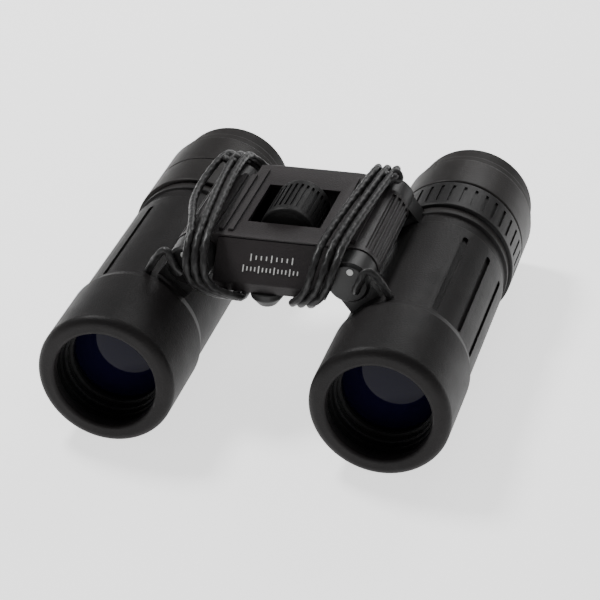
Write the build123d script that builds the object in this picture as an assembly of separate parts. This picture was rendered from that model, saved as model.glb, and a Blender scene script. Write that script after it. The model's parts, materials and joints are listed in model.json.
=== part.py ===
from build123d import *
import math
import os

# Compact folding binoculars with a double hinge, a central focus wheel and a wound neck cord.
#
# Layout while modelling, in millimetres: Y runs along the barrels from the objective rims (0) to the
# eyecups, X is across, Z is up from the barrel axes. The right side is modelled and the left is its mirror.
# Each piece is moved at the end so that the origin is at the bottom centre of the whole object.

# Overall sizes
length = 101.0
barrel_spacing = 62.0          # between the optical axes, unfolded
barrel_radius = 15.8           # raised front end and eyepiece housing
grip_radius = 15.1             # armour along the grip
objective_opening = 11.7       # radius inside the rolled rim
lens_radius = 10.5             # 21 mm objective

# Hinges
hinge_x, hinge_z = 18.5, 17.0
knuckle_radius = 5.0
knuckle_length = 6.0
pin_radius = 2.3
pin_bore = 1.25
arm_width = 8.4

# Bridge
bridge_front, bridge_rear = 31.4, 60.6        # the part that lies between the knuckles
bridge_half_height = 5.2
cavity_front = bridge_front + 1.0
cover_split = hinge_z - 0.45                   # where the top cover meets the frame
post_length = 1.0                             # front bearing post of the focus screw
centre_half_width = 13.1                      # the part that runs past the knuckles
skirt_front, arch_rear = 25.0, 69.0
wall = 1.3
window_half_width, window_front, window_rear = 8.5, 38.8, 57.2

# Focus drive
wheel_radius, wheel_z = 6.5, 18.8
wheel_front, wheel_rear = 40.4, 55.6
screw_radius = 1.1
bush_radius = 1.5
carriage_y, carriage_length = 36.0, 3.0
travel = 0.9                                  # each way
bar_half_height = 0.8
rod_radius = 1.2
tongue_length, tongue_width = 1.6, 1.6
groove_radius = 0.6

# Barrels
tube_outer, tube_wall = 13.9, 0.95
tube_front, tube_rear = 2.6, 66.0
step_front, step_rear = 20.5, 23.0            # where the raised front end drops to the grip
neck_front, neck_rear, neck_radius = 60.4, 64.6, 14.5
grip_groove_angles = (10, 35, 62, -30, -55)   # from outward, turning upward
grip_groove_depth, grip_groove_width = 0.6, 1.3
cell_wall = 1.6
cell_front, cell_rear = 8.5, 30.5
prism_front, prism_rear = 34.0, 60.0

# Eyepieces
seam_y, seam_gap = 67.6, 0.3
ring_rear = 79.6
housing_rear = 91.8
eye_tube_outer, eye_tube_wall, eye_cell_wall = 12.6, 1.4, 1.55
eye_cell_front, eye_cell_rear = 70.0, 89.5
eyecup_radius = 14.2
eyecup_bore = 11.4
diopter_travel = 0.6

# Neck cord
cord_radius = 0.9
cord_pitch = 1.9
cord_low = 5.8                                # first strand below the bridge
left_strands = ((17.6, 13.9, 13.4), (19.8, 15.9, 15.6), (22.2, 17.9, 17.6))    # rear, front, foot of the front
right_strands = ((15.2, 11.4, 9.6), (17.4, 14.0, 11.8), (19.6, 16.2, 13.9))
under_z, over_z = 9.6, 25.2

# Clearances
seat = 0.02                                   # between pieces fixed to each other
running = 0.05                                # between pieces that slide or turn
washer = 0.3
knuckle_gap = 0.4                             # between each knuckle and the bridge, for the washer
cap_thickness = 0.8

# Sizes that follow
tube_inner = tube_outer - tube_wall
cell_outer = tube_inner - running
cell_inner = cell_outer - cell_wall
eye_tube_inner = eye_tube_outer - eye_tube_wall
eye_cell_outer = eye_tube_inner - running
eye_cell_inner = eye_cell_outer - eye_cell_wall
tongue_y = bridge_front - knuckle_gap - knuckle_length / 2
arm_length = math.hypot(barrel_spacing / 2 - hinge_x, hinge_z)
arm_angle = math.degrees(math.atan2(hinge_z, barrel_spacing / 2 - hinge_x))
barrel_x = barrel_spacing / 2


# ---------------------------------------------------------------- shape helpers
def outline(corners):
    """Closed face through (a, b) corners; a third value rounds that corner."""
    stretches = []
    for i, corner in enumerate(corners):
        here = Vector(*corner[:2])
        before = (Vector(*corners[i - 1][:2]) - here).normalized()
        after = (Vector(*corners[(i + 1) % len(corners)][:2]) - here).normalized()
        radius = corner[2] if len(corner) > 2 else 0
        if radius:
            half = math.radians(before.get_angle(after)) / 2
            inward = (before + after).normalized()
            nearest = here + inward * (radius / math.sin(half) - radius)
            reach = radius / math.tan(half)
            stretches.append((here + before * reach, nearest, here + after * reach))
        else:
            stretches.append((here, None, here))
    edges = []
    for i, (start, middle, end) in enumerate(stretches):
        if middle:
            edges.append(ThreePointArc(start, middle, end))
        following = stretches[(i + 1) % len(stretches)][0]
        if (following - end).length > 1e-6:
            edges.append(Line(end, following))
    return make_face(edges)


def spun(corners, x=0.0, z=0.0):
    """Solid of revolution about an axis along Y; corners are (radius, y)."""
    return Pos(x, 0, z) * revolve(outline(corners), Axis.Y)


def rod(x, z, radius, y0, y1):
    """Cylinder along Y."""
    upright = Cylinder(radius, y1 - y0, align=(Align.CENTER, Align.CENTER, Align.MIN))
    return Pos(x, y0, z) * Rot(-90, 0, 0) * upright


def tube(x, z, inner, outer, y0, y1):
    """Hollow cylinder along Y."""
    return rod(x, z, outer, y0, y1) - rod(x, z, inner, y0 - 1, y1 + 1)


def block(x0, x1, y0, y1, z0, z1):
    """Box between two corners."""
    return Pos(x0, y0, z0) * Box(x1 - x0, y1 - y0, z1 - z0, align=(Align.MIN,) * 3)


def side_extrusion(corners, half_width):
    """Outline in Y and Z, extruded both ways along X."""
    face = Plane(origin=(-half_width, 0, 0), x_dir=(0, 1, 0), z_dir=(1, 0, 0)) * outline(corners)
    return extrude(face, amount=2 * half_width)


def front_extrusion(corners, y0, y1):
    """Outline in X and Z, extruded along Y."""
    face = Plane(origin=(0, y1, 0), x_dir=(1, 0, 0), z_dir=(0, -1, 0)) * outline(corners)
    return extrude(face, amount=y1 - y0)


def toward_barrel(u0, u1, half_width, y0, y1):
    """Box that starts at the hinge axis and points at the barrel axis."""
    along = Box(u1 - u0, y1 - y0, 2 * half_width, align=(Align.MIN, Align.MIN, Align.CENTER))
    return Pos(hinge_x, y0, hinge_z) * Rot(0, arm_angle, 0) * Pos(u0, 0, 0) * along


def around_barrel(piece, angle):
    """Turn a piece made at the outward side of the barrel axis up round that axis."""
    return Pos(barrel_x, 0, 0) * Rot(0, -angle, 0) * piece


pieces = {}


def both_sides(name, piece):
    """Keep a right-hand piece and its mirror for the left."""
    pieces["right_" + name] = piece
    pieces["left_" + name] = mirror(piece, Plane.YZ)


# ---------------------------------------------------------------- bridge
def bridge_block():
    """Whole outside of the bridge, before it is split into its pieces."""
    low, high = hinge_z - bridge_half_height, hinge_z + bridge_half_height
    centre = side_extrusion([(skirt_front, low), (arch_rear, low, 1.5), (arch_rear, high, 2.5),
                             (bridge_front, high, 1.6), (skirt_front, low + 2.2, 0.8)],
                            centre_half_width)
    half, shoulder = centre_half_width, arch_rear - 2.5
    arch = make_face([Line((-half, skirt_front), (half, skirt_front)), Line((half, skirt_front), (half, shoulder)),
                      ThreePointArc((half, shoulder), (0, arch_rear), (-half, shoulder)),
                      Line((-half, shoulder), (-half, skirt_front))])
    centre &= Pos(0, 0, low - 1) * extrude(arch, amount=high - low + 2)
    radius = bridge_half_height
    wings = front_extrusion([(-hinge_x - radius, low, radius - 0.01), (hinge_x + radius, low, radius - 0.01),
                             (hinge_x + radius, high, radius - 0.01), (-hinge_x - radius, high, radius - 0.01)],
                            bridge_front, bridge_rear)
    return centre + wings - shoulder_flutes()


def shoulder_flutes():
    """Grooves along the rounded shoulders that cover the hinges."""
    grooves = []
    for angle in range(-22, 80, 17):
        turn = math.radians(angle)
        x = hinge_x + (bridge_half_height + 0.1) * math.cos(turn)
        z = hinge_z + (bridge_half_height + 0.1) * math.sin(turn)
        grooves += [rod(side * x, z, 0.5, bridge_front + 1.4, bridge_rear - 1.4) for side in (1, -1)]
    return Compound(grooves)


def crossbar_slots():
    """Room for the carriage bar between the cavity and the hinge pins."""
    reach = travel + carriage_length / 2 + 0.1
    return block(-hinge_x, hinge_x, carriage_y - reach, carriage_y + reach,
                 hinge_z - bar_half_height - 0.1, hinge_z + bar_half_height + 0.1)


def bridge_cavity():
    """Space for the focus wheel, screw and carriage."""
    inner = centre_half_width - wall
    return block(-inner, inner, cavity_front, bridge_rear - 0.6,
                 hinge_z - bridge_half_height + 1.1, hinge_z + bridge_half_height - 1.0)


def grip_ribs():
    """Lengthwise grip ribs between the window and each hinge."""
    high = hinge_z + bridge_half_height
    ribs = []
    for step in range(4):
        x = window_half_width + 2.4 + step * 2.2
        bar = side_extrusion([(33.2, high - 0.5), (64.0 - step * 1.2, high - 0.5),
                              (63.6 - step * 1.2, high + 0.55, 0.4), (33.6, high + 0.55, 0.4)], 0.55)
        if x > centre_half_width:
            bar &= block(-9, 9, bridge_front, bridge_rear, 0, 40)
        ribs += [Pos(x, 0, 0) * bar, Pos(-x, 0, 0) * bar]
    return ribs


def make_bridge():
    """Bridge frame, top cover and front plate."""
    whole = bridge_block()
    cavity, slots = bridge_cavity(), crossbar_slots()
    split = bridge_front
    bores = Compound([rod(s * hinge_x, hinge_z, pin_radius + running, 20, 72) for s in (1, -1)])
    sleeves = [tube(s * hinge_x, hinge_z, pin_radius + running, knuckle_radius - 1.2, split, bridge_rear)
               for s in (1, -1)]
    sleeve_room = [rod(s * hinge_x, hinge_z, knuckle_radius - 1.2 + seat, split - 1, bridge_rear + 1)
                   for s in (1, -1)]
    behind = block(-40, 40, split, 90, 0, 40)
    lower = whole & behind & block(-40, 40, 0, 90, 0, cover_split)
    front_post = block(-3.2, 3.2, cavity_front, cavity_front + post_length, hinge_z - bridge_half_height + 0.5,
                       wheel_z + 0.8)
    frame = (lower - cavity - bores) + sleeves + front_post - bores - slots
    frame -= rod(0, wheel_z, bush_radius, cavity_front, cavity_front + 2)
    frame -= block(-4.7, 4.7, wheel_front - 0.6, wheel_rear + 0.6, 0, hinge_z - bridge_half_height + 1.4)
    for x in (-8.5, 8.5):
        frame -= Pos(x, 64.5, 0) * Cylinder(0.9, 60)
    pieces["bridge_frame"] = frame

    window = block(-window_half_width, window_half_width, window_front, window_rear, hinge_z, 40)
    upper = whole & behind & block(-40, 40, 0, 90, cover_split + seat, 40)
    cover = upper + grip_ribs()
    cover = cover - cavity - window - sleeve_room - slots
    cover -= rod(0, wheel_z, bush_radius, bridge_rear - 1, bridge_rear + 1.9)
    for x in (-8.5, 8.5):
        cover -= Pos(x, 64.5, hinge_z) * Cylinder(0.7, 6)
    pieces["top_cover"] = cover

    front = whole & block(-40, 40, 0, split - seat, 0, 40)
    for x0, x1 in ((-11.3, -5.0), (5.0, 11.3)):
        front -= block(x0, x1, split - 2.4, 40, 13.2, 17.0)
    seam = block(-40, 40, split - 0.35, 40, 0, 40)
    front -= seam - block(-centre_half_width + 0.6, centre_half_width - 0.6, 0, 50,
                          hinge_z - bridge_half_height + 0.6, hinge_z + bridge_half_height - 0.6)
    pieces["front_plate"] = front
    pieces["screw_boss"] = Pos(-1.0, 27.4, 0) * boss()


def boss():
    """Rounded boss under the front edge, the head of the clamp bolt that holds the front plate."""
    low = hinge_z - bridge_half_height
    turned = revolve(outline([(0, low - 3.7), (2.0, low - 3.7, 1.0), (3.8, low - 1.4, 1.0),
                              (3.8, low - seat), (0, low - seat)]), Axis.Y)
    return Rot(90, 0, 0) * turned


def make_hinge_fittings():
    """Pins, caps, washers and index dots."""
    front, rear = bridge_front - knuckle_gap, bridge_rear + knuckle_gap
    pin = rod(hinge_x, hinge_z, pin_radius, front - knuckle_length - 0.3, rear + knuckle_length + 0.3)
    pin -= rod(hinge_x, hinge_z, pin_bore, front - knuckle_length + 0.4, carriage_y + 5)
    reach = travel + carriage_length / 2 + 0.1
    for turn in range(-24, 43, 6):
        bar = Box(4, 2 * reach, 2 * bar_half_height + 0.3, align=(Align.MAX, Align.CENTER, Align.CENTER))
        pin -= Pos(hinge_x, carriage_y, hinge_z) * Rot(0, -turn, 0) * bar
    slot_reach = travel + tongue_length / 2 + 0.1
    pin -= toward_barrel(0, 4, tongue_width / 2 + 0.1, tongue_y - slot_reach, tongue_y + slot_reach)
    both_sides("hinge_pin", pin)
    cap = spun([(0, 0), (knuckle_radius - 0.6, 0, 0.35), (knuckle_radius - 0.1, cap_thickness), (0, cap_thickness)])
    hub = rod(0, 0, pin_radius + 0.1, 0.5, 2)
    front_cap = cap - hub
    rear_cap = mirror(front_cap, Plane.XZ)
    caps = Pos(hinge_x, front - knuckle_length - cap_thickness - seat, hinge_z) * front_cap
    caps += Pos(hinge_x, rear + knuckle_length + cap_thickness + seat, hinge_z) * rear_cap
    both_sides("hinge_caps", caps)
    washers = []
    for s in (1, -1):
        for y in (front + 0.05, rear - 0.05 - washer):
            washers.append(tube(s * hinge_x, hinge_z, pin_radius + running, knuckle_radius - 0.4, y, y + washer))
    pieces["hinge_washers"] = Compound(washers)
    dot = rod(hinge_x + 0.6, hinge_z + 3.1, 0.75, front - knuckle_length - cap_thickness - 0.2 - 2 * seat,
              front - knuckle_length - cap_thickness - 2 * seat)
    both_sides("index_dot", dot)


def make_screws():
    """Two countersunk screws that hold the covers together from below."""
    low = hinge_z - bridge_half_height
    screws = []
    for x in (-8.5, 8.5):
        head = Pos(x, 64.5, low + 0.5) * Cylinder(0.85, 1.0)
        shank = Pos(x, 64.5, low + 4.4) * Cylinder(0.65, 7.0)
        screws.append(head + shank)
    pieces["cover_screws"] = Compound(screws)


# ---------------------------------------------------------------- focus drive
def make_focus_drive():
    """Wheel, screw, bushes, clip, carriage and push rods."""
    hub = wheel_radius - 1.7
    groove = 2.3
    pieces["focus_wheel_hub"] = tube(0, wheel_z, screw_radius, hub, wheel_front + 0.3, wheel_rear - 0.3)
    grip = spun([(hub + seat, wheel_front), (wheel_radius, wheel_front, 0.8),
                 (wheel_radius, wheel_rear, 0.8), (hub + seat, wheel_rear)], 0, wheel_z)
    for turn in range(0, 360, 12):
        notch = Pos(0, 0, wheel_z) * Rot(0, turn, 0) * block(wheel_radius - 0.45, wheel_radius + 1,
                                                             wheel_front + groove, wheel_rear - groove, -0.28, 0.28)
        grip -= notch
    pieces["focus_wheel_grip"] = grip
    pieces["focus_screw"] = rod(0, wheel_z, screw_radius - seat, cavity_front + seat, bridge_rear + 1.6)
    bush_inner, bush_outer = screw_radius + running, bush_radius - seat
    pieces["screw_bushes"] = Compound([
        tube(0, wheel_z, bush_inner, bush_outer, cavity_front + seat, cavity_front + post_length),
        tube(0, wheel_z, bush_inner, bush_outer, bridge_rear - 0.5, bridge_rear + 1.8)])
    pieces["screw_clip"] = tube(0, wheel_z, screw_radius, 1.55, bridge_rear - 2.6, bridge_rear - 2.0)

    half = carriage_length / 2
    y0, y1 = carriage_y - half, carriage_y + half
    bar = block(-hinge_x, hinge_x, y0, y1, hinge_z - bar_half_height, hinge_z + bar_half_height)
    nut = block(-2.8, 2.8, y0, y1, hinge_z - bar_half_height, wheel_z + 0.9)
    carriage = bar + nut - rod(0, wheel_z, screw_radius + running, 0, 90)
    carriage -= Compound([rod(s * hinge_x, hinge_z, rod_radius + seat, 0, 90) for s in (1, -1)])
    carriage &= block(-hinge_x + 0.5, hinge_x - 0.5, 0, 90, 0, 40)
    pieces["focus_carriage"] = carriage
    push = rod(hinge_x, hinge_z, rod_radius, tongue_y - tongue_length / 2 - 0.9, carriage_y + half)
    push -= tube(hinge_x, hinge_z, groove_radius, rod_radius + 1,
                 tongue_y - tongue_length / 2 - 0.08, tongue_y + tongue_length / 2 + 0.08)
    both_sides("push_rod", push)


# ---------------------------------------------------------------- barrels
def armour():
    """Rubber armour with a rolled objective rim, a raised front end, grip grooves and a neck."""
    inner = tube_outer + seat
    skin = spun([(objective_opening, 2.2), (objective_opening, 0, 0.9), (barrel_radius, 0, 1.9),
                 (barrel_radius, step_front, 1.2), (grip_radius, step_rear, 1.2),
                 (grip_radius, neck_front, 0.4), (neck_radius, neck_front + 0.6, 0.3),
                 (neck_radius, neck_rear, 0.3), (grip_radius, neck_rear + 0.5, 0.3),
                 (grip_radius, tube_rear), (inner, tube_rear), (inner, 2.2)], barrel_x)
    for angle in grip_groove_angles:
        groove = block(grip_radius - grip_groove_depth, grip_radius + 2, 23.5, 57.0,
                       -grip_groove_width / 2, grip_groove_width / 2)
        groove = fillet(groove.edges().filter_by(Axis.X), grip_groove_width * 0.45)
        skin -= around_barrel(groove, angle)
    for y0, y1 in knuckle_spans():
        skin -= toward_barrel(0, arm_length, arm_width / 2 + seat, y0 - seat, y1 + seat)
    return skin


def knuckle_spans():
    """Where the front and rear knuckles lie along Y."""
    front, rear = bridge_front - knuckle_gap, bridge_rear + knuckle_gap
    return (front - knuckle_length, front), (rear, rear + knuckle_length)


def make_barrels():
    """Tube with its hinge arms, armour, baffle, objective cell, prisms and their holder."""
    shell = rod(barrel_x, 0, tube_outer, tube_front, tube_rear)
    for y0, y1 in knuckle_spans():
        shell += rod(hinge_x, hinge_z, knuckle_radius, y0, y1)
        shell += toward_barrel(0, arm_length - tube_inner, arm_width / 2, y0, y1)
    shell -= rod(barrel_x, 0, tube_inner, 0, 90)
    shell -= rod(hinge_x, hinge_z, pin_radius + seat / 2, 0, 90)
    slot_reach = travel + tongue_length / 2 + 0.1
    slot = toward_barrel(0, arm_length - 5, tongue_width / 2 + 0.15, tongue_y - slot_reach, tongue_y + slot_reach)
    both_sides("barrel_tube", shell - slot)
    both_sides("rubber_armour", armour())

    edge = tube_inner - seat
    baffle = spun([(edge, 2.7), (edge, 7.2), (edge - 1.9, 7.2), (edge - 1.9, 6.6), (edge - 1.4, 6.6),
                   (edge - 1.4, 5.0), (edge - 1.0, 5.0), (edge - 1.0, 3.6), (edge - 0.7, 3.6), (edge - 0.7, 2.7)],
                  barrel_x)
    both_sides("light_baffle", baffle)

    cell = tube(barrel_x, 0, cell_inner, cell_outer, cell_front, cell_rear)
    cell += tube(barrel_x, 0, 9.3, cell_inner + 0.5, 14.2, 15.2)
    tongue = toward_barrel(groove_radius, arm_length - cell_inner - 0.6, tongue_width / 2,
                           tongue_y - tongue_length / 2, tongue_y + tongue_length / 2)
    tongue -= rod(hinge_x, hinge_z, groove_radius + running, 0, 90)
    both_sides("objective_cell", cell + tongue)
    both_sides("objective_lens", lens(cell_inner - 0.1, 9.8, 14.1, 40, 60))
    both_sides("lens_retainer", tube(barrel_x, 0, lens_radius, cell_inner - seat, 8.9, 9.75))

    cage = tube(barrel_x, 0, tube_inner - 1.05, tube_inner - seat, prism_front, prism_rear)
    for y in (prism_front, prism_rear - 1.6):
        plate = rod(barrel_x, 0, tube_inner - 0.75, y, y + 1.6) - rod(barrel_x, 0, 6.4, y - 1, y + 3)
        cage += plate
    both_sides("prism_holder", cage)
    both_sides("roof_prisms", prisms())


def lens(radius, front, rear, front_curve, rear_curve):
    """Lens on the barrel axis; its faces bulge out to the given front and rear."""
    def back_off(curve, across):
        return curve - math.sqrt(curve ** 2 - across ** 2)
    front_edge, rear_edge = front + back_off(front_curve, radius), rear - back_off(rear_curve, radius)
    half = make_face([
        Line((0, front), (0, rear)),
        ThreePointArc((0, rear), (radius / 2, rear - back_off(rear_curve, radius / 2)), (radius, rear_edge)),
        Line((radius, rear_edge), (radius, front_edge)),
        ThreePointArc((radius, front_edge), (radius / 2, front + back_off(front_curve, radius / 2)), (0, front))])
    return Pos(barrel_x, 0, 0) * revolve(half, Axis.Y)


def prisms():
    """Roof prism pair: a half-penta prism and a roof prism with a thin air gap between them."""
    half_width = 6.2
    front, rear = prism_front + 1.7, prism_rear - 1.7
    first = side_extrusion([(front, -7.5), (front, 6.0), (front + 4.0, 8.6), (front + 9.6, 8.6),
                            (front + 15.6, -7.5)], half_width)
    second = side_extrusion([(rear, -6.5), (rear, 7.5), (rear - 4.0, 9.2), (rear - 11.5, 9.2),
                             (rear - 5.6, -6.5)], half_width)
    return Pos(barrel_x, 0, 0) * Compound([first, second])


# ---------------------------------------------------------------- eyepieces
def make_eyepieces():
    """Housing, eyepiece cell, lenses and eyecup on both sides, with the diopter ring on the right."""
    start = seam_y + seam_gap
    collar = [(eye_tube_inner, tube_rear + seat), (grip_radius - 0.2, tube_rear + seat),
              (grip_radius - 0.2, start), (eye_tube_outer, start)]
    lip = [(eye_tube_outer, 95.0), (eye_tube_inner, 95.0)]
    rear_shell = [(barrel_radius, ring_rear + seam_gap, 0.5), (barrel_radius, housing_rear, 0.5),
                  (eye_tube_outer, housing_rear)]
    fixed = spun(collar + [(eye_tube_outer, start), (barrel_radius, start, 0.5)][1:] +
                 [(barrel_radius, ring_rear - 0.2, 0.4), (barrel_radius - 0.5, ring_rear),
                  (barrel_radius, ring_rear + 0.3, 0.3)] + rear_shell[1:] + lip, barrel_x)
    arm_room = toward_barrel(0, arm_length, arm_width / 2 + seat, 60, knuckle_spans()[1][1] + seat)
    pieces["left_eyepiece_housing"] = mirror(fixed - arm_room, Plane.YZ)
    turning = spun(collar + [(eye_tube_outer, ring_rear + seam_gap)] + rear_shell + lip, barrel_x)
    pin_y = (start + ring_rear) / 2
    slot = block(barrel_x + eye_tube_inner - 1, barrel_x + eye_tube_outer + 1,
                 pin_y - diopter_travel - 0.9, pin_y + diopter_travel + 0.9, -0.9, 0.9)
    pieces["right_eyepiece_housing"] = turning - slot - arm_room

    ring = spun([(eye_tube_outer + running, start), (barrel_radius, start, 0.5), (barrel_radius, ring_rear, 0.5),
                 (eye_tube_outer + running, ring_rear)], barrel_x)
    ring -= tube(barrel_x, 0, eye_tube_outer - 1, eye_tube_outer + 1.2, pin_y - 1.6, pin_y + 1.6)
    notch = block(barrel_radius - 0.4, barrel_radius + 1, start + 2.0, ring_rear - 2.0, -0.35, 0.35)
    for angle in range(0, 360, 10):
        ring -= around_barrel(notch, angle)
    pieces["diopter_ring"] = ring

    cell = tube(barrel_x, 0, eye_cell_inner, eye_cell_outer, eye_cell_front, eye_cell_rear)
    cell += tube(barrel_x, 0, eye_cell_inner - 1.2, eye_cell_inner + 0.3, 78.6, 79.6)
    pieces["left_eyepiece_cell"] = mirror(cell, Plane.YZ)
    pin = Pos(barrel_x + eye_cell_outer - 0.3, pin_y, 0) * Rot(0, 90, 0) * Cylinder(
        0.8, 2.1, align=(Align.CENTER, Align.CENTER, Align.MIN))
    pieces["right_eyepiece_cell"] = cell + pin
    both_sides("field_lens", lens(eye_cell_inner - seat, 72.0, 76.4, 30, 45))
    both_sides("eye_lens", lens(eye_cell_inner - seat, 81.6, 87.0, 26, 26))
    both_sides("eye_lens_retainer", tube(barrel_x, 0, eye_cell_inner - 1.8, eye_cell_inner - seat, 87.2, 89.2))
    both_sides("eyecup", spun([
        (eye_tube_outer + seat, housing_rear + seat), (barrel_radius - 0.6, housing_rear + seat, 0.3),
        (barrel_radius - 0.6, 94.6, 1.0), (eyecup_radius, 96.2, 1.0), (eyecup_radius, length, 1.1),
        (eyecup_bore, length, 0.9), (eyecup_bore, 95.0 + seat), (eye_tube_outer + seat, 95.0 + seat)], barrel_x))


# ---------------------------------------------------------------- neck cord
def winding(strands, sign):
    """Points of a cord wound lengthwise round one end of the bridge, starting below near the middle."""
    points = []
    for turn, (rear, front, foot) in enumerate(strands):
        low = cord_low + turn * cord_pitch
        points += [(sign * low, 66.0, under_z), (sign * (low + 0.8), 71.8, 13.0),
                   (sign * (rear - 1.4), 72.4, 20.6), (sign * rear, 66.4, over_z)]
        if rear > 22:
            points.append((sign * (rear + 2.4), 48.0, 22.4))
        points += [(sign * (front + 0.5), 29.4, over_z), (sign * front, 21.7, 21.6),
                   (sign * foot, 21.1, 14.8), (sign * (low + 0.5), 20.7, 12.6), (sign * low, 26.4, under_z)]
    return points


def cord_tube(points):
    """Round cord along straight runs joined by tangent arcs, and its path."""
    radii = []
    for before, here, after in zip(points, points[1:], points[2:]):
        runs = (Vector(*here) - Vector(*before), Vector(*after) - Vector(*here))
        turn = math.radians(runs[0].get_angle(runs[1]))
        radii.append(0.45 * min(run.length for run in runs) / math.tan(turn / 2))
    print("cord radii:", " ".join(f"{radius:.1f}" for radius in radii))
    path = FilletPolyline(*points, radius=radii)
    section = Plane(origin=path @ 0, z_dir=path % 0) * Circle(cord_radius)
    swept = sweep(section, path=path)
    print(f"cord length {path.length:.1f}, volume ratio {swept.volume / (math.pi * cord_radius ** 2 * path.length):.4f}")
    return swept


def make_cord():
    """Neck cord wound round both ends of the bridge, and the loop that ties it to each barrel."""
    pieces["neck_cord"] = cord_tube(list(reversed(winding(left_strands, -1))) + winding(right_strands, 1))
    knuckle_start, knuckle_end = knuckle_spans()[0]
    cap_face = knuckle_start - cap_thickness - 2 * seat
    route = [(29.4, cap_face + 0.24, 12.0), (23.7, cap_face + 0.04, 23.6), (20.7, cap_face - 1.86, 16.8),
             (20.3, cap_face + 0.05, 15.4)]
    path = FilletPolyline(*route, radius=[1.6, 1.0])
    tie = sweep(Plane(origin=path @ 0, z_dir=path % 0) * Circle(cord_radius), path=path)
    tie -= rod(barrel_x, 0, grip_radius + seat, 0, 60) + rod(hinge_x, hinge_z, knuckle_radius, cap_face, 60)
    tie -= toward_barrel(0, arm_length, arm_width / 2 + seat, knuckle_start - seat, knuckle_end)
    both_sides("strap_tie", tie)


def main():
    make_bridge()
    make_hinge_fittings()
    make_screws()
    make_focus_drive()
    make_barrels()
    make_eyepieces()
    make_cord()
    os.makedirs("parts", exist_ok=True)
    to_origin = Pos(0, -length / 2, barrel_radius)
    for name, piece in pieces.items():
        solids = piece.solids()
        export_step(to_origin * (solids[0] if len(solids) == 1 else Compound(solids)), f"parts/{name}.step")


main()
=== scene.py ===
"""Looks of the compact folding binoculars: materials, braided cord, printed marks and studio."""
import json
import math

import bpy
from mathutils import Matrix, Vector


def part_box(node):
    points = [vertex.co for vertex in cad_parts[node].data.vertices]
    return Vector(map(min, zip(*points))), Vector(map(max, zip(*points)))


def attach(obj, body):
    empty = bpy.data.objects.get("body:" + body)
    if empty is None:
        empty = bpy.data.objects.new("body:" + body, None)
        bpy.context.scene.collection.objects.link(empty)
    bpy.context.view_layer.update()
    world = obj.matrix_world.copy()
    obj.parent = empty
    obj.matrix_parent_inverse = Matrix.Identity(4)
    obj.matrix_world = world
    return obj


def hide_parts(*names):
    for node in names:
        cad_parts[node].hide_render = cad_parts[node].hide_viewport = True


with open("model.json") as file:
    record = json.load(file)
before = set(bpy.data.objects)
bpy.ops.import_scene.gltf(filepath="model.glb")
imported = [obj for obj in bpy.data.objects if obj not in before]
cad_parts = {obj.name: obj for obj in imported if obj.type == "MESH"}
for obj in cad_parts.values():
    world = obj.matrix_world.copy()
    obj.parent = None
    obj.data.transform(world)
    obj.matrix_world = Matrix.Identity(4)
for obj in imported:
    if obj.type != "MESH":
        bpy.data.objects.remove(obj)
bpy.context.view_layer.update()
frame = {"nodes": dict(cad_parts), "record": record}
MM = 0.001
nodes = frame["nodes"]
SIDES = ("left", "right")


# ---------------------------------------------------------------- places taken from the frame
def middle(name):
    """Centre of a CAD node's box."""
    low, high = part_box(name)
    return (Vector(low) + Vector(high)) / 2


AXIS_X = abs(middle("right_objective_lens").x)
AXIS_Z = middle("right_objective_lens").z
FRONT_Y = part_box("right_rubber_armour")[0][1]


# ---------------------------------------------------------------- material helpers
class Nodes:
    """Small helper round a material's node tree."""

    def __init__(self, name):
        self.material = bpy.data.materials.new(name)
        self.material.use_nodes = True
        self.tree = self.material.node_tree
        self.shader = self.tree.nodes["Principled BSDF"]
        self.place = self.add("ShaderNodeTexCoord").outputs["Object"]

    def add(self, kind, **values):
        node = self.tree.nodes.new(kind)
        for key, value in values.items():
            if hasattr(node, key):
                setattr(node, key, value)
            else:
                node.inputs[key.replace("_", " ")].default_value = value
        return node

    def link(self, out, socket):
        self.tree.links.new(out, socket)
        return self

    def noise(self, scale, detail=4.0, roughness=0.55):
        node = self.add("ShaderNodeTexNoise", Scale=scale, Detail=detail, Roughness=roughness)
        self.link(self.place, node.inputs["Vector"])
        return node.outputs["Fac"]

    def voronoi(self, scale, feature="F1"):
        node = self.add("ShaderNodeTexVoronoi", feature=feature)
        node.inputs["Scale"].default_value = scale
        self.link(self.place, node.inputs["Vector"])
        return node.outputs["Distance"]

    def ramp(self, source, stops):
        node = self.add("ShaderNodeValToRGB")
        ramp = node.color_ramp
        while len(ramp.elements) < len(stops):
            ramp.elements.new(0.5)
        for element, (position, colour) in zip(ramp.elements, stops):
            element.position = position
            element.color = (*colour, 1) if len(colour) == 3 else colour
        self.link(source, node.inputs["Fac"])
        return node.outputs["Color"]

    def scaled(self, source, low, high):
        node = self.add("ShaderNodeMapRange")
        node.inputs["To Min"].default_value = low
        node.inputs["To Max"].default_value = high
        self.link(source, node.inputs["Value"])
        return node.outputs["Result"]

    def bump(self, height, distance, strength=1.0, under=None):
        node = self.add("ShaderNodeBump")
        node.inputs["Strength"].default_value = strength
        node.inputs["Distance"].default_value = distance
        self.link(height, node.inputs["Height"])
        if under is not None:
            self.link(under, node.inputs["Normal"])
        return node.outputs["Normal"]

    def set(self, **values):
        for key, value in values.items():
            self.shader.inputs[key.replace("_", " ")].default_value = value
        return self


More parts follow.
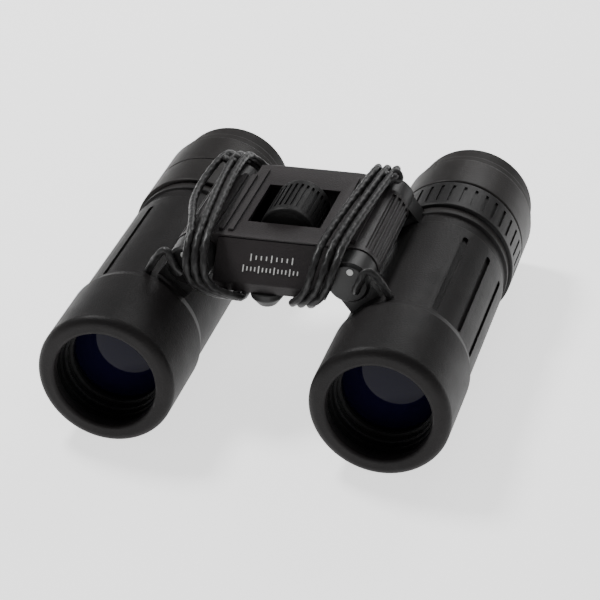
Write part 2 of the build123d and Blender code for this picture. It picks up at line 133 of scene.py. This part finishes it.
def moulded(name, dark, light, rough, grain_scale, grain_depth, tint_scale, specular):
    """Black moulded rubber or plastic: cloudy tint, fine grain, uneven gloss and a painted highlight that
    lightens sharp edges.
    """
    m = Nodes(name)
    cloudy = m.ramp(m.noise(tint_scale, 3), [(0.3, dark), (0.72, light)])
    # painted highlight: sharp outer edges are lightened a little in the base colour
    painted_highlight_pointiness = m.add("ShaderNodeNewGeometry").outputs["Pointiness"]
    edge = m.ramp(painted_highlight_pointiness, [(0.505, (0, 0, 0)), (0.56, (1, 1, 1))])
    mix = m.add("ShaderNodeMix", data_type="RGBA", blend_type="ADD")
    mix.inputs[0].default_value = 0.015
    m.link(cloudy, mix.inputs[6]).link(edge, mix.inputs[7])
    m.link(mix.outputs[2], m.shader.inputs["Base Color"])
    m.link(m.scaled(m.noise(170, 2), rough - 0.06, rough + 0.08), m.shader.inputs["Roughness"])
    coarse = m.bump(m.noise(90, 2), 0.00006, 0.35)
    m.link(m.bump(m.voronoi(grain_scale), grain_depth, 0.6, coarse), m.shader.inputs["Normal"])
    return m.set(Specular_IOR_Level=specular).material


def metal(name, colour, rough):
    """Turned metal with fine rings round the part's Y axis."""
    m = Nodes(name)
    rings = m.add("ShaderNodeTexWave", bands_direction="Y")
    rings.inputs["Scale"].default_value = 900
    rings.inputs["Distortion"].default_value = 2
    m.link(m.place, rings.inputs["Vector"])
    darker = [c * 0.8 for c in colour]
    m.link(m.ramp(m.noise(400, 3), [(0.2, darker), (0.8, colour)]), m.shader.inputs["Base Color"])
    m.link(m.scaled(m.noise(800, 2), rough - 0.08, rough + 0.1), m.shader.inputs["Roughness"])
    m.link(m.bump(rings.outputs["Fac"], 0.00002, 0.5), m.shader.inputs["Normal"])
    return m.set(Metallic=1.0).material


def coated_glass(name, centre, rim):
    """Lens glass with a coating whose tint turns toward the rim of each reflection."""
    m = Nodes(name)
    facing = m.add("ShaderNodeLayerWeight")
    facing.inputs["Blend"].default_value = 0.35
    tint = m.ramp(facing.outputs["Facing"], [(0.0, centre), (0.45, rim), (1.0, (0.06, 0.045, 0.11))])
    m.link(tint, m.shader.inputs["Base Color"])
    dust = m.scaled(m.noise(700, 5), 0.02, 0.07)
    m.link(dust, m.shader.inputs["Roughness"])
    return m.set(Specular_IOR_Level=0.1, Coat_Weight=0.04, Coat_Roughness=0.02, Coat_IOR=1.5).material


# slot: name, dark tint, light tint, roughness, grain scale, grain depth, tint scale, specular level
MOULDED = {
    "rubber": ("armour_rubber", (0.0062, 0.0055, 0.0056), (0.0125, 0.0110, 0.0112),
               0.5, 2600, 0.00006, 60, 0.15),
    "eyecup_rubber": ("eyecup_rubber", (0.011, 0.0094, 0.0090), (0.019, 0.0163, 0.0155),
                      0.6, 3000, 0.00004, 60, 0.22),
    "bridge_plastic": ("bridge_plastic", (0.0065, 0.0062, 0.0063), (0.012, 0.0114, 0.0116),
                       0.42, 3200, 0.00003, 60, 0.24),
    "cover_plastic": ("cover_plastic", (0.012, 0.0092, 0.0098), (0.021, 0.0162, 0.0173),
                      0.46, 2400, 0.00006, 60, 0.3),
    "ring_plastic": ("ring_plastic", (0.0085, 0.0080, 0.0082), (0.015, 0.0141, 0.0144),
                     0.44, 3000, 0.00003, 60, 0.18),
    "wheel_rubber": ("wheel_rubber", (0.0045, 0.0043, 0.0044), (0.009, 0.0086, 0.0088),
                     0.52, 3000, 0.00004, 60, 0.2),
    "barrel_metal": ("barrel_paint", (0.008, 0.0076, 0.0077), (0.014, 0.0134, 0.0136),
                     0.4, 3600, 0.00003, 60, 0.28),
    "housing_plastic": ("housing_plastic", (0.0100, 0.0084, 0.0080), (0.0175, 0.0148, 0.0140),
                        0.48, 2600, 0.00005, 60, 0.2),
    "cap_plastic": ("cap_plastic", (0.007, 0.0067, 0.0068), (0.012, 0.0115, 0.0117),
                    0.32, 3600, 0.00002, 60, 0.35),
    "inner_metal": ("blackened_metal", (0.003, 0.003, 0.0032), (0.006, 0.006, 0.0062),
                    0.5, 3600, 0.00002, 60, 0.18),
    "cord": ("cord_braid", (0.006, 0.0058, 0.0059), (0.018, 0.0172, 0.0175),
             0.42, 4200, 0.00004, 500, 0.35),
    "white_mark": ("white_paint", (0.62, 0.62, 0.61), (0.74, 0.74, 0.73),
                   0.45, 3600, 0.00002, 60, 0.5),
}
MATERIALS = {slot: moulded(*row) for slot, row in MOULDED.items()}
MATERIALS["steel"] = metal("turned_steel", (0.55, 0.55, 0.56), 0.28)
MATERIALS["brass"] = metal("turned_brass", (0.72, 0.52, 0.24), 0.26)
MATERIALS["lens_glass"] = coated_glass("coated_lens", (0.0015, 0.0016, 0.008), (0.007, 0.005, 0.026))
MATERIALS["prism_glass"] = coated_glass("prism_glass", (0.05, 0.055, 0.07), (0.08, 0.08, 0.12))


def dress_cad():
    """Give every CAD node its slot's finished material."""
    slot_of = {entry["node"]: entry["material_slot"] for entry in frame["record"]["subparts"]}
    for name, obj in nodes.items():
        for place in obj.material_slots:
            place.material = MATERIALS[slot_of[name]]


# ---------------------------------------------------------------- lenses
def polished_lens(name, node, front_curve, rear_curve, body):
    """Biconvex lens with even rings from its middle to its edge, as a polished surface has."""
    low, high = (Vector(corner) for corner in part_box(node))
    centre, radius = (low + high) / 2, (high.x - low.x) / 2
    rings, around = 16, 96
    shares = [k / rings for k in range(rings + 1)]

    def sag(curve, across):
        return curve - math.sqrt(curve ** 2 - across ** 2)

    profile = [(radius * s, low.y + sag(front_curve, radius * s)) for s in shares]
    profile += [(radius * s, high.y - sag(rear_curve, radius * s)) for s in reversed(shares)]
    verts = [Vector((centre.x, low.y, centre.z))]
    for across, y in profile[1:-1]:
        verts += [Vector((centre.x + across * math.cos(t), y, centre.z + across * math.sin(t)))
                  for t in (2 * math.pi * k / around for k in range(around))]
    verts.append(Vector((centre.x, high.y, centre.z)))
    faces = [(0, 1 + k, 1 + (k + 1) % around) for k in range(around)]
    for ring in range(len(profile) - 3):
        a = 1 + ring * around
        faces += [(a + k, a + around + k, a + around + (k + 1) % around, a + (k + 1) % around)
                  for k in range(around)]
    last = len(verts) - 1
    a = last - around
    faces += [(a + (k + 1) % around, a + k, last) for k in range(around)]
    lens = finish_piece(mesh_piece(name, verts, faces), "lens_glass", body)
    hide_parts(node)


def make_objective_lenses():
    for side in SIDES:
        polished_lens(side + "_front_lens", side + "_objective_lens", 40 * MM, 60 * MM, side + "_objective")


# ---------------------------------------------------------------- neck cord
CORD_DIAMETER = 1.8 * MM
CORD_PITCH, CORD_LOW = 1.9, 5.8
UNDER_Z, OVER_Z = 9.6, 25.2
CORD_STEP = 0.3 * MM
LOOSE_BEYOND = 22                             # a strand further out than this hangs loose along its middle
# How far out each strand lies at the rear, at the front and at the foot of the front
LEFT_STRANDS = ((17.6, 13.9, 13.4), (19.8, 15.9, 15.6), (22.2, 17.9, 17.6))
RIGHT_STRANDS = ((15.2, 11.4, 9.6), (17.4, 14.0, 11.8), (19.6, 16.2, 13.9))


def winding(strands, sign):
    """Route of the cord round one end of the bridge, in millimetres from the barrel axes and front rims."""
    points = []
    for turn, (rear, front, foot) in enumerate(strands):
        low = CORD_LOW + turn * CORD_PITCH
        points += [(sign * low, 66.0, UNDER_Z), (sign * (low + 0.8), 71.8, 13.0),
                   (sign * (rear - 1.4), 72.4, 20.6), (sign * rear, 66.4, OVER_Z)]
        if rear > LOOSE_BEYOND:
            points.append((sign * (rear + 2.4), 48.0, 22.4))
        points += [(sign * (front + 0.5), 29.4, OVER_Z), (sign * front, 21.7, 21.6),
                   (sign * foot, 21.1, 14.8), (sign * (low + 0.5), 20.7, 12.6), (sign * low, 26.4, UNDER_Z)]
    return points


def placed(point):
    """A point in millimetres from the barrel axes and front rims, in the frame."""
    return Vector((point[0] * MM, FRONT_Y + point[1] * MM, AXIS_Z + point[2] * MM))


def smooth_line(name, points):
    """Centre line of a NURBS spline with these control points."""
    curve = bpy.data.curves.new(name + "_route", "CURVE")
    curve.dimensions = "3D"
    spline = curve.splines.new("NURBS")
    spline.points.add(len(points) - 1)
    for target, point in zip(spline.points, points):
        target.co = (*point, 1)
    spline.order_u = 3
    spline.use_endpoint_u = True
    spline.resolution_u = 32
    holder = bpy.data.objects.new(name + "_route", curve)
    bpy.context.scene.collection.objects.link(holder)
    mesh = bpy.data.meshes.new_from_object(holder)
    line = [vertex.co.copy() for vertex in mesh.vertices]
    bpy.data.objects.remove(holder)
    bpy.data.meshes.remove(mesh)
    return line


def even_steps(line, step):
    """Points a set distance apart along a line."""
    out, carried = [line[0]], 0.0
    for a, b in zip(line, line[1:]):
        run = (b - a).length
        while carried + run >= step and run > 0:
            a = a.lerp(b, (step - carried) / run)
            run = (b - a).length
            carried = 0.0
            out.append(a)
        carried += run
    return out


def braided_tube(name, line, radius, around=14, strands=6, pitch=3.4 * MM):
    """Round braid: two sets of strands cross over each other along the line."""
    verts, faces = [], []
    side = None
    travelled = 0.0
    for i, point in enumerate(line):
        ahead = (line[min(i + 1, len(line) - 1)] - line[max(i - 1, 0)]).normalized()
        if side is None:
            side = ahead.orthogonal().normalized()
        side = (side - ahead * side.dot(ahead)).normalized()
        other = ahead.cross(side)
        if i:
            travelled += (point - line[i - 1]).length
        phase = travelled / pitch * 2 * math.pi
        for k in range(around):
            angle = 2 * math.pi * k / around
            one = math.cos(strands / 2 * angle + phase)
            two = math.cos(strands / 2 * angle - phase)
            swell = max(one, two)
            reach = radius * (0.93 + 0.09 * swell)
            verts.append(point + (side * math.cos(angle) + other * math.sin(angle)) * reach)
    for i in range(len(line) - 1):
        for k in range(around):
            a, b = i * around + k, i * around + (k + 1) % around
            faces.append((a, b, b + around, a + around))
    last = (len(line) - 1) * around
    faces.append(tuple(reversed(range(around))))
    faces.append(tuple(last + k for k in range(around)))
    return mesh_piece(name, verts, faces)


def mesh_piece(name, verts, faces, smooth=True):
    """A mesh object from points and faces."""
    mesh = bpy.data.meshes.new(name)
    mesh.from_pydata([tuple(v) for v in verts], [], faces)
    mesh.update()
    for polygon in mesh.polygons:
        polygon.use_smooth = smooth
    piece = bpy.data.objects.new(name, mesh)
    bpy.context.scene.collection.objects.link(piece)
    return piece


def finish_piece(piece, slot, body):
    """Material of its slot and body of a new piece."""
    piece.data.materials.append(MATERIALS[slot])
    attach(piece, body)
    return piece


def line_length(line):
    return sum((b - a).length for a, b in zip(line, line[1:]))


def make_neck_cord(knots):
    """The cord wound round both ends of the bridge; the knots passed in are not used."""
    route = [placed(p) for p in list(reversed(winding(LEFT_STRANDS, -1))) + winding(RIGHT_STRANDS, 1)]
    line = even_steps(smooth_line("neck_cord", route), CORD_STEP)
    cord = finish_piece(braided_tube("neck_cord_braid", line, CORD_DIAMETER / 2), "cord", "bridge")
    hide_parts("neck_cord")
    print("neck cord length", round(line_length(line), 4))


def make_strap_ties():
    """The short cord at the front of each hinge, which leans out from the barrel."""
    route = [(29.4, 24.4, 12.0), (23.7, 24.2, 23.6), (20.7, 22.3, 16.8), (20.3, 24.2, 15.4)]
    for side, sign in zip(SIDES, (-1, 1)):
        points = [placed((sign * x, y, z)) for x, y, z in route]
        line = even_steps(smooth_line(side + "_tie", points), CORD_STEP)
        braid = braided_tube(side + "_tie_braid", line, CORD_DIAMETER / 2)
        tie = finish_piece(braid, "cord", side + "_barrel")
        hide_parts(side + "_strap_tie")
        print(side, "tie length", round(line_length(line), 4))


KNOT_SIZE = 0.62 * MM


def trefoil(t):
    """Point of a trefoil knot, a little deeper than the plain one."""
    return Vector((math.sin(t) + 2 * math.sin(2 * t), math.cos(t) - 2 * math.cos(2 * t),
                   -1.15 * math.sin(3 * t)))


def make_hinge_knots():
    """A small overhand knot where the cord crosses the rear of each hinge."""
    knots = []
    for side, sign in zip(SIDES, (-1, 1)):
        centre = placed((sign * 19.4, 62.8, 24.2))
        turns = [2 * math.pi * k / 96 for k in range(97)]
        line = [centre + KNOT_SIZE * trefoil(t) for t in turns]
        knots.append(finish_piece(braided_tube(side + "_hinge_knot", line, 0.8 * MM, pitch=2.2 * MM),
                                  "cord", "bridge"))
    return knots


# ---------------------------------------------------------------- printed marks
def make_scale_marks():
    """Two rows of small raised ticks on the sloping front plate, the longer ones every fourth."""
    verts, faces = [], []
    for row, (count, pitch, near) in enumerate(((15, 0.9, 0.30), (9, 1.2, 0.62))):
        for k in range(count):
            x = (k - (count - 1) / 2) * pitch
            tall = 0.10 if k % 4 == 0 else 0.06
            start = len(verts)
            for across, along in ((-0.14, -tall), (0.14, -tall), (0.14, tall), (-0.14, tall)):
                verts.append(placed(on_slope(x + across, near + along)))
            faces.append((start, start + 1, start + 2, start + 3))
    finish_piece(mesh_piece("front_scale_marks", verts, faces, False), "white_mark", "bridge")


def on_slope(x, share):
    """A point just above the front plate's slope, a share of the way from its foot to its top."""
    foot, top = (25.6, 14.6), (30.4, 21.2)
    y, z = (foot[k] + share * (top[k] - foot[k]) for k in range(2))
    return x, y - 0.12, z + 0.12


# ---------------------------------------------------------------- studio
AZIMUTH, ELEVATION, ROLL = math.radians(16.734), math.radians(28.934), math.radians(-2.299)
DISTANCE = 0.561
AIM = Vector((-0.00164, 0.00053, 0.02177))


def make_camera():
    right = Vector((math.cos(AZIMUTH), math.sin(AZIMUTH), 0))
    back = Vector((math.sin(AZIMUTH) * math.cos(ELEVATION), -math.cos(AZIMUTH) * math.cos(ELEVATION),
                   math.sin(ELEVATION)))
    up = back.cross(right)
    rolled_right = math.cos(ROLL) * right + math.sin(ROLL) * up
    rolled_up = back.cross(rolled_right)
    data = bpy.data.cameras.new("camera")
    data.lens, data.sensor_width = 144.4, 36.0
    data.shift_x, data.shift_y = 0.0101, -0.0651
    data.clip_start, data.clip_end = 0.01, 20
    camera = bpy.data.objects.new("camera", data)
    camera.matrix_world = Matrix.Translation(AIM + back * DISTANCE) @ Matrix(
        (rolled_right, rolled_up, back)).transposed().to_4x4()
    bpy.context.scene.collection.objects.link(camera)
    bpy.context.scene.camera = camera


def area_light(name, place, aim, size, power, colour=(1, 1, 1)):
    data = bpy.data.lights.new(name, "AREA")
    data.shape, data.size, data.energy, data.color = "DISK", size, power, colour
    light = bpy.data.objects.new(name, data)
    light.location = place
    light.rotation_euler = (Vector(aim) - Vector(place)).to_track_quat("-Z", "Y").to_euler()
    bpy.context.scene.collection.objects.link(light)


def make_studio():
    floor = mesh_piece("studio_floor", [(-3, -3, 0), (3, -3, 0), (3, 3, 0), (-3, 3, 0)], [(0, 1, 2, 3)])
    m = Nodes("pale_floor")
    m.link(m.ramp(m.noise(3, 2), [(0.3, (0.86, 0.86, 0.86)), (0.7, (0.88, 0.88, 0.88))]),
           m.shader.inputs["Base Color"])
    m.set(Roughness=0.9, Specular_IOR_Level=0.1, Emission_Color=(1, 1, 1, 1), Emission_Strength=1.5)
    floor.data.materials.append(m.material)
    world = bpy.data.worlds.new("studio")
    world.use_nodes = True
    world.node_tree.nodes["Background"].inputs["Color"].default_value = (1, 1, 1, 1)
    world.node_tree.nodes["Background"].inputs["Strength"].default_value = 0.2
    bpy.context.scene.world = world
    area_light("key", (-0.45, 0.25, 0.75), (0, 0, 0.02), 0.22, 6.5)
    area_light("fill", (0.6, -0.5, 0.5), (0, 0, 0.02), 0.6, 0.4)
    area_light("back", (0.1, 0.7, 0.45), (0, 0, 0.02), 0.4, 1.6)


make_camera()
make_objective_lenses()
make_neck_cord(make_hinge_knots())
make_strap_ties()
make_scale_marks()
dress_cad()
make_studio()
